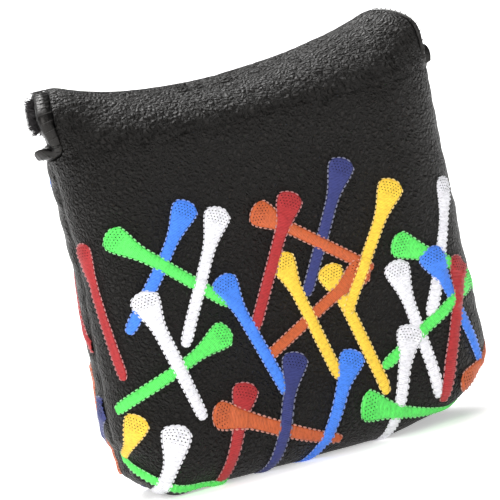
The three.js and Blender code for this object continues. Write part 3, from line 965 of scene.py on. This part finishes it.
BACK_TEES = [
    ("blue", (-62, 80), (-50, 42)),
    ("red", (-52, 62), (-72, 32)),
    ("white", (-57, 30), (-38, -6)),
    ("orange", (-66, 22), (-66, -18)),
    ("navy", (-75, 12), (-52, -22)),
    ("yellow", (-40, 22), (-60, -10)),
    ("green", (-31, 16), (4, -2)),
    ("red", (-27, -2), (-7, -32)),
    ("white", (-6, 20), (-18, -18)),
    ("blue", (3, 6), (28, -24)),
    ("orange", (14, 21), (-4, -16)),
    ("navy", (22, 18), (52, -8)),
    ("green", (42, 12), (22, -24)),
    ("yellow", (58, 16), (34, -16)),
    ("red", (52, 36), (70, 2)),
    ("white", (66, 64), (50, 28)),
    ("blue", (60, 46), (76, 10)),
    ("green", (72, 82), (60, 44)),
]


def tee_half_width(along):
    """Half width of a tee, `along` millimetres from the top of its head."""
    flare_out = (1 - smooth((along - 1.8) / 15)) ** 1.7
    width = STEM_HALF - 0.15 * along / TEE_LENGTH + (HEAD_HALF - STEM_HALF) * flare_out
    top = 1 - 0.30 * np.clip(1 - along / 1.6, 0, 1) ** 2.2
    tip = np.sqrt(np.clip(1 - np.clip((along - TEE_LENGTH + 3.4) / 3.5, 0, 1) ** 2, 0.02, 1))
    return width * top * tip


class Tee:
    """One tee on the flat pattern, with its place and direction."""

    def __init__(self, thread, head, aim):
        self.thread = thread
        way = Vector((aim[0] - head[0], aim[1] - head[1])).normalized()
        self.along = np.array(way)
        self.side = np.array((-way.y, way.x))
        self.start = np.array(head, float) - self.along * HEAD_BACK

    def place(self, along, side):
        bow = 1.5 * (side / HEAD_HALF) ** 2 * np.exp(-along / 4)
        return (self.start + (along + bow)[..., None] * self.along + side[..., None] * self.side)

    def cover(self, spots):
        """How far a spot of the pattern lies under this tee, from 0 to 1."""
        from_start = spots - self.start
        along, side = from_start @ self.along, from_start @ self.side
        ends = smooth((along + 0.6) / 1.2) * smooth((TEE_LENGTH + 0.6 - along) / 1.2)
        return ends * smooth((tee_half_width(np.clip(along, 0, TEE_LENGTH)) + 0.7 - np.abs(side)) / 1.3)


def thread_material(name, color, highlight_lift=0.0):
    """Satin thread: fine ridges across the tee. Over a random mottle, the colour is painted darker
    between the stitches and lighter on the ridges, as painted shade and highlight.
    """
    # Lifting the thread colour towards white paints a lighter copy of the thread, a painted highlight
    # used for the border stitches.
    shown = tuple(c + (1 - c) * highlight_lift for c in color)
    material, nodes, links, shader = node_material(name, shown, 0.5)
    flat = add_node(nodes, "ShaderNodeUVMap", uv_map="flat").outputs["UV"]
    bands = add_node(nodes, "ShaderNodeTexWave", wave_type="BANDS", bands_direction="X", Scale=0.72)
    bands.inputs["Distortion"].default_value = 1.6
    bands.inputs["Detail Scale"].default_value = 1.5
    links.new(flat, bands.inputs["Vector"])
    fibre = add_noise(nodes, links, flat, 3.0, 3.0)
    stretch = add_node(nodes, "ShaderNodeMapping")
    stretch.inputs["Scale"].default_value = (1.5, 0.55, 1)
    links.new(flat, stretch.inputs["Vector"])
    mottle = add_noise(nodes, links, stretch.outputs["Vector"], 1.0, 3.0, Roughness=0.7)
    height = add_sum(nodes, links, fibre, 0.5, bands.outputs["Fac"])
    add_bump(nodes, links, shader, height, 0.6, 0.0002)
    contrast = add_range(nodes, links, mottle, from_min=0.32, from_max=0.66)
    # Painted shade and highlight: the bump height darkens the thread between the ridges and lightens
    # their tops.
    share = add_sum(nodes, links, height, 0.35, contrast.outputs["Result"])
    dark, light = (c * 0.62 for c in shown), (min(1, c * 1.12 + 0.012) for c in shown)
    add_tone(nodes, links, shader, share, dark, light)
    shader.inputs["Sheen Weight"].default_value = 0.08
    shader.inputs["Sheen Roughness"].default_value = 0.4
    return material


THREAD_MATS = {name: thread_material("thread_" + name, color) for name, color in THREADS.items()}
# The border stitches get lighter copies of each thread colour: a painted highlight.
HIGHLIGHT_BORDER_MATS = {name: thread_material("border_highlight_" + name, color, 0.2) for name, color in THREADS.items()}
HOLE_MAT = cloth_material("needle_holes", (0.006, 0.006, 0.007), 300)

ROW_STEP = 0.32
TEE_COLUMNS = 15
SATIN_HEIGHT = 0.75
SATIN_INSET = 0.3
CROSSING_LIFT = 0.42
DASH_STEP = 1.62
DASH_LENGTH = 1.16
DASH_HALF = 0.25
HOLE_SPACING = 0.98
HOLE_ROWS = 5
HOLE_RADIUS = 0.19


def crossing_lift(spots, under):
    """A tee rides up over the tees that it crosses."""
    return sum((CROSSING_LIFT * other.cover(spots) for other in under), np.zeros(spots.shape[:-1]))


def satin_grid(tee, rows):
    """Places on the flat pattern, and heights over the leather, of the satin body."""
    shares = np.sin(np.linspace(-math.pi / 2, math.pi / 2, TEE_COLUMNS))
    along = np.repeat(rows[:, None], TEE_COLUMNS, 1)
    side = shares[None, :] * (tee_half_width(rows)[:, None] - SATIN_INSET)
    ridge = 0.07 * ((np.arange(len(rows)) % 2) * 2 - 1)[:, None] * (1 - shares ** 2)
    dome = SATIN_HEIGHT * (1 - shares[None, :] ** 2) ** 0.42
    ends = smooth(rows / 0.9)[:, None] * smooth((TEE_LENGTH - rows) / 1.2)[:, None]
    return along, side, (dome + ridge) * ends - 0.12


def dash_parts(tee, inside):
    """Places and heights of the border stitches: down both sides and round the top of the head."""
    rows, height = 3, np.array([[0.0, 0.16, 0.0], [0.20, 0.55, 0.20], [0.0, 0.16, 0.0]])
    parts = []
    narrow = np.array([0.5, 1.0, 0.5])[:, None]
    across = np.array([-DASH_HALF, 0.0, DASH_HALF])[None, :]
    for turn in (-1, 1):
        for start in np.arange(0.9, TEE_LENGTH - 1.2, DASH_STEP):
            at = start + DASH_LENGTH * np.array([0, 0.5, 1])
            along = np.repeat(at[:, None], rows, 1)
            side = turn * (tee_half_width(at)[:, None] - 0.12) + across * narrow
            parts.append((along, side, height))
    width = tee_half_width(np.array([0.8]))[0]
    for start in np.arange(-width + 0.2, width - DASH_LENGTH, DASH_STEP):
        at = start + DASH_LENGTH * np.array([0, 0.5, 1])
        side = np.repeat(at[:, None], rows, 1)
        along = 0.12 + across * narrow + 0 * side
        parts.append((along, side, height))
    return [part for part in parts if inside(tee.place(part[0], part[1])[1, 1], 0.5)]


def hole_parts(tee, inside):
    """Needle holes: small cones that dip into the head, in staggered rows."""
    turns = np.arange(6) * math.pi / 3
    parts = []
    for row in range(HOLE_ROWS):
        along = 1.35 + row * 0.86
        reach = tee_half_width(np.array([along]))[0] - 0.75
        shift = (row % 2) * 0.5
        for column in range(-5, 6):
            side = (column + shift) * HOLE_SPACING
            if abs(side) < reach and inside(tee.place(np.array(along), np.array(side)), 0.5):
                size = HOLE_RADIUS * (1.0 if row < 4 else 0.7)
                ring_along = along + np.append(size * np.cos(turns), 0)
                ring_side = side + np.append(size * np.sin(turns), 0)
                parts.append((ring_along, ring_side))
    return parts


def tee_piece(tee, name, surface, height_of, edge, under):
    """The satin body, its border stitches and its needle holes, as one mesh on the leather."""
    def inside(spot, margin):
        return abs(spot[0]) < edge - margin and spot[1] > 0.6 + margin - BASE_RUN

    def lifted(along, side, height):
        spots = tee.place(along, side)
        across, up = spots[..., 0], spots[..., 1]
        return surface(across, up, height_of(across, up) + crossing_lift(spots, under) + height)

    rows = np.arange(0, TEE_LENGTH + ROW_STEP / 2, ROW_STEP)
    along, side, height = satin_grid(tee, rows)
    spots = tee.place(along, side)
    verts = [lifted(along, side, height).reshape(-1, 3)]
    uv = [np.stack([along, side + 20], -1).reshape(-1, 2)]
    faces, kinds = [], []
    for r in range(len(rows) - 1):
        for c in range(TEE_COLUMNS - 1):
            if inside((spots[r, c] + spots[r + 1, c + 1]) / 2, 0):
                a = r * TEE_COLUMNS + c
                faces.append((a, a + 1, a + TEE_COLUMNS + 1, a + TEE_COLUMNS))
                kinds.append(0)
    base = len(verts[0])
    for along_d, side_d, height_d in dash_parts(tee, inside):
        verts.append(lifted(along_d, side_d, height_d).reshape(-1, 3))
        uv.append(np.stack([side_d * 3, along_d], -1).reshape(-1, 2))
        new = grid_faces(3, 3, base)
        faces += new
        kinds += [1] * len(new)
        base += 9
    for along_h, side_h in hole_parts(tee, inside):
        share = np.clip(np.abs(side_h) / (tee_half_width(along_h) - SATIN_INSET), 0, 1)
        top = SATIN_HEIGHT * (1 - share ** 2) ** 0.42 - 0.12 + np.array([0.1] * 6 + [0.0])
        verts.append(lifted(along_h, side_h, top))
        uv.append(np.stack([along_h, side_h], -1))
        faces += [(base + k, base + (k + 1) % 6, base + 6) for k in range(6)]
        kinds += [2] * 6
        base += 7
    if not kinds:
        return
    piece = make_mesh(name, np.concatenate(verts), faces, THREAD_MATS[tee.thread], np.concatenate(uv))
    piece.data.materials.append(HIGHLIGHT_BORDER_MATS[tee.thread])
    piece.data.materials.append(HOLE_MAT)
    piece.data.polygons.foreach_set("material_index", kinds)
    cleaned = bmesh.new()
    cleaned.from_mesh(piece.data)
    bmesh.ops.delete(cleaned, geom=[v for v in cleaned.verts if not v.link_faces], context="VERTS")
    cleaned.to_mesh(piece.data)
    cleaned.free()
    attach(piece, "pocket")


def front_surface(across, up, height):
    return wrap_point(across, up, -height)


def back_surface(across, up, height):
    return wall_point(BACK, across, up, -height)


def sew_tees(label, rows, surface, height_of, edge):
    under = []
    for number, (thread, head, aim) in enumerate(rows, 1):
        tee = Tee(thread, head, aim)
        tee_piece(tee, f"{label}_tee_{number:02d}_{thread}", surface, height_of, edge, under)
        under.append(tee)


sew_tees("front", FRONT_TEES, front_surface, wrap_relief, FRONT.edge - 0.9)
sew_tees("back", BACK_TEES, back_surface, back_relief, BACK.edge - 0.9)

# ---- CAD nodes that stay
def steel_material():
    material, nodes, links, shader = node_material("nickel", (0.55, 0.55, 0.53), 0.3)
    shader.inputs["Metallic"].default_value = 1.0
    place = add_node(nodes, "ShaderNodeTexCoord").outputs["Object"]
    wear = add_noise(nodes, links, place, 900.0, 5.0)
    rough = add_range(nodes, links, wear, to_min=0.2, to_max=0.45)
    links.new(rough.outputs["Result"], shader.inputs["Roughness"])
    return material


STEEL_MAT = steel_material()
for name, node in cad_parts.items():
    if "magnet" in name:
        material = WELT_MAT if "pouch" in name else STEEL_MAT
        for number in range(max(1, len(node.material_slots))):
            if node.material_slots:
                node.material_slots[number].material = material
            else:
                node.data.materials.append(material)

# ---- stage, light and camera
def stage_set():
    bpy.context.scene.view_settings.view_transform = "Standard"
    bpy.ops.mesh.primitive_plane_add(size=40, location=(0, 0, -0.0004))
    floor = bpy.context.object
    floor.name = "floor"
    material, nodes, links, shader = node_material("pale_floor", (0.93, 0.93, 0.93), 0.9)
    shader.inputs["Specular IOR Level"].default_value = 0.0
    shader.inputs["Emission Color"].default_value = (1, 1, 1, 1)
    shader.inputs["Emission Strength"].default_value = 0.45
    floor.data.materials.append(material)
    world = bpy.data.worlds.new("studio")
    bpy.context.scene.world = world
    world.use_nodes = True
    world.node_tree.nodes["Background"].inputs["Color"].default_value = (1, 1, 1, 1)
    world.node_tree.nodes["Background"].inputs["Strength"].default_value = 0.14


def sky_light(name, strength, angle, tilt):
    """Broad soft light from overhead, which keeps the floor evenly pale."""
    data = bpy.data.lights.new(name, "SUN")
    data.energy = strength
    data.angle = math.radians(angle)
    lamp = bpy.data.objects.new(name, data)
    bpy.context.scene.collection.objects.link(lamp)
    lamp.rotation_euler = (math.radians(tilt), 0, 0)
    return lamp


def area_light(name, place, size, power, target=(0, 0, 0.07)):
    data = bpy.data.lights.new(name, "AREA")
    data.size = size
    data.energy = power
    lamp = bpy.data.objects.new(name, data)
    bpy.context.scene.collection.objects.link(lamp)
    lamp.location = place
    lamp.rotation_euler = (Vector(target) - Vector(place)).to_track_quat("-Z", "Y").to_euler()
    return lamp


def camera_set():
    azimuth, elevation, roll = math.radians(-17), math.radians(8), math.radians(12.2)
    distance = 1.3
    frame_width = 0.1515
    back = Vector((
        math.sin(azimuth) * math.cos(elevation),
        -math.cos(azimuth) * math.cos(elevation),
        math.sin(elevation),
    ))
    right = Vector((math.cos(azimuth), math.sin(azimuth), 0))
    target = Vector((0, 0, 0.0635)) + right * -0.0031
    data = bpy.data.cameras.new("camera")
    data.sensor_width = 36
    data.lens = 36 * distance / frame_width
    data.clip_end = 20
    camera = bpy.data.objects.new("camera", data)
    bpy.context.scene.collection.objects.link(camera)
    camera.location = target + back * distance
    turn = (-back).to_track_quat("-Z", "Y").to_matrix().to_4x4()
    camera.rotation_mode = "QUATERNION"
    camera.rotation_quaternion = (turn @ Matrix.Rotation(-roll, 4, "Z")).to_quaternion()
    bpy.context.scene.camera = camera


stage_set()
sky_light("overhead", 2.4, 70, -12)
area_light("left_box", (-1.0, -0.75, 0.65), 0.6, 11.0)
area_light("front_box", (0.30, -1.25, 0.55), 0.5, 3.0)
area_light("back_box", (-0.15, 0.9, 0.95), 0.9, 17.0)
camera_set()
